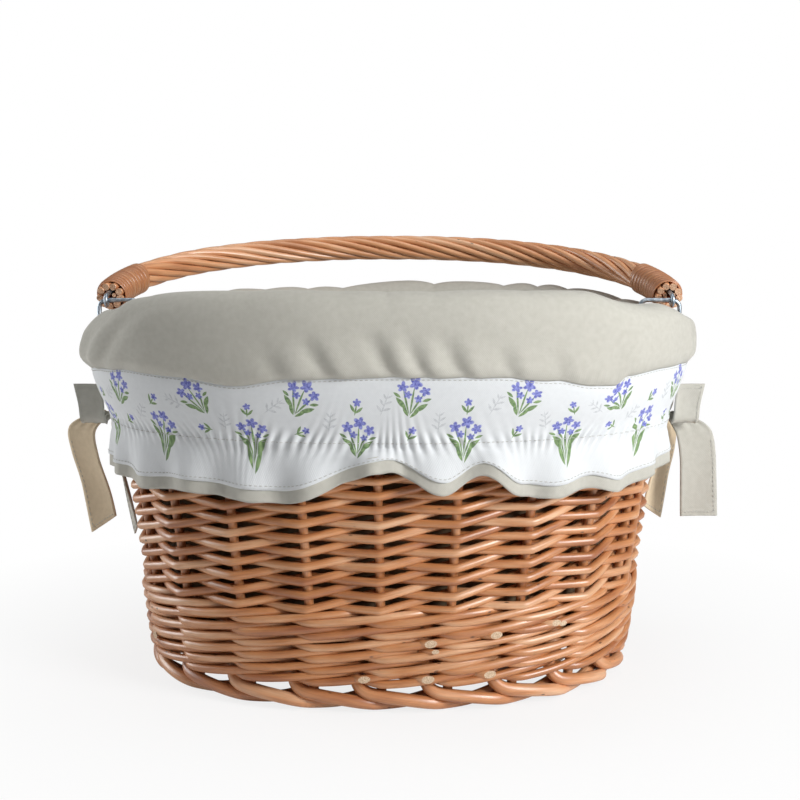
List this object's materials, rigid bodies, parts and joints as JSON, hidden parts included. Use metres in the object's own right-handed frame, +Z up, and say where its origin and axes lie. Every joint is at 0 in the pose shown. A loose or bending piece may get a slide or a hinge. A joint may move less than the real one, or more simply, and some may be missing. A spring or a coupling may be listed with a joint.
{
  "type": "bicycle basket",
  "caption": "Oval willow bicycle basket with a gathered cloth liner tied over its rim and a roped willow handle that swings across the opening.",
  "frame": {"origin": "on the floor, under the middle of the basket", "axes": "+X to the right along the longer side, -Y to the front, +Z up"},
  "size_m": [0.4347, 0.3259, 0.2825],
  "materials": {
    "willow": "buff willow, satin",
    "willow_dark": "buff willow, satin",
    "skein": "split willow, smooth",
    "beige_cloth": "woven cotton, matt",
    "print_cloth": "printed cotton, matt",
    "elastic": "knitted elastic",
    "wire": "galvanised"
  },
  "bodies": {
    "basket": {"stake_01": "willow", "stake_02": "willow", "stake_03": "willow", "stake_04": "willow", "stake_05": "willow", "stake_06": "willow", "stake_07": "willow", "stake_08": "willow", "stake_09": "willow", "stake_10": "willow", "stake_11": "willow", "stake_12": "willow", "stake_13": "willow", "stake_14": "willow", "stake_15": "willow", "stake_16": "willow", "stake_17": "willow", "stake_18": "willow", "stake_19": "willow", "stake_20": "willow", "stake_21": "willow", "wale_weaver": "willow_dark", "siding_weaver": "willow", "foot_border": "willow_dark", "base_weave": "willow_dark", "rim_border": "willow", "liner_bag": "beige_cloth", "cuff_front": "beige_cloth", "cuff_back": "beige_cloth", "frill_front": "print_cloth", "frill_back": "print_cloth", "hem_front": "beige_cloth", "hem_back": "beige_cloth", "elastic_front": "elastic", "elastic_back": "elastic", "tie_knot_left": "beige_cloth", "tie_flap_left": "beige_cloth", "tie_tail_front_left": "beige_cloth", "tie_tail_back_left": "beige_cloth", "tie_knot_right": "beige_cloth", "tie_flap_right": "beige_cloth", "tie_tail_front_right": "beige_cloth", "tie_tail_back_right": "beige_cloth", "pivot_staple_left": "wire", "pivot_staple_right": "wire"},
    "handle": {"handle_strand_1": "willow", "handle_strand_2": "willow", "handle_strand_3": "willow", "handle_strand_4": "willow", "handle_strand_5": "willow", "handle_strand_6": "willow", "handle_strand_7": "willow", "handle_strand_8": "willow", "handle_strand_9": "willow", "binding_left": "skein", "binding_right": "skein", "handle_core_wire": "wire"}
  },
  "joints": [
    {"name": "handle_swing", "type": "hinge", "parent": "basket", "child": "handle", "pos_m": [0, 0, 0.2406], "axis": [1, 0, 0], "range_deg": [0, 153]}
  ]
}
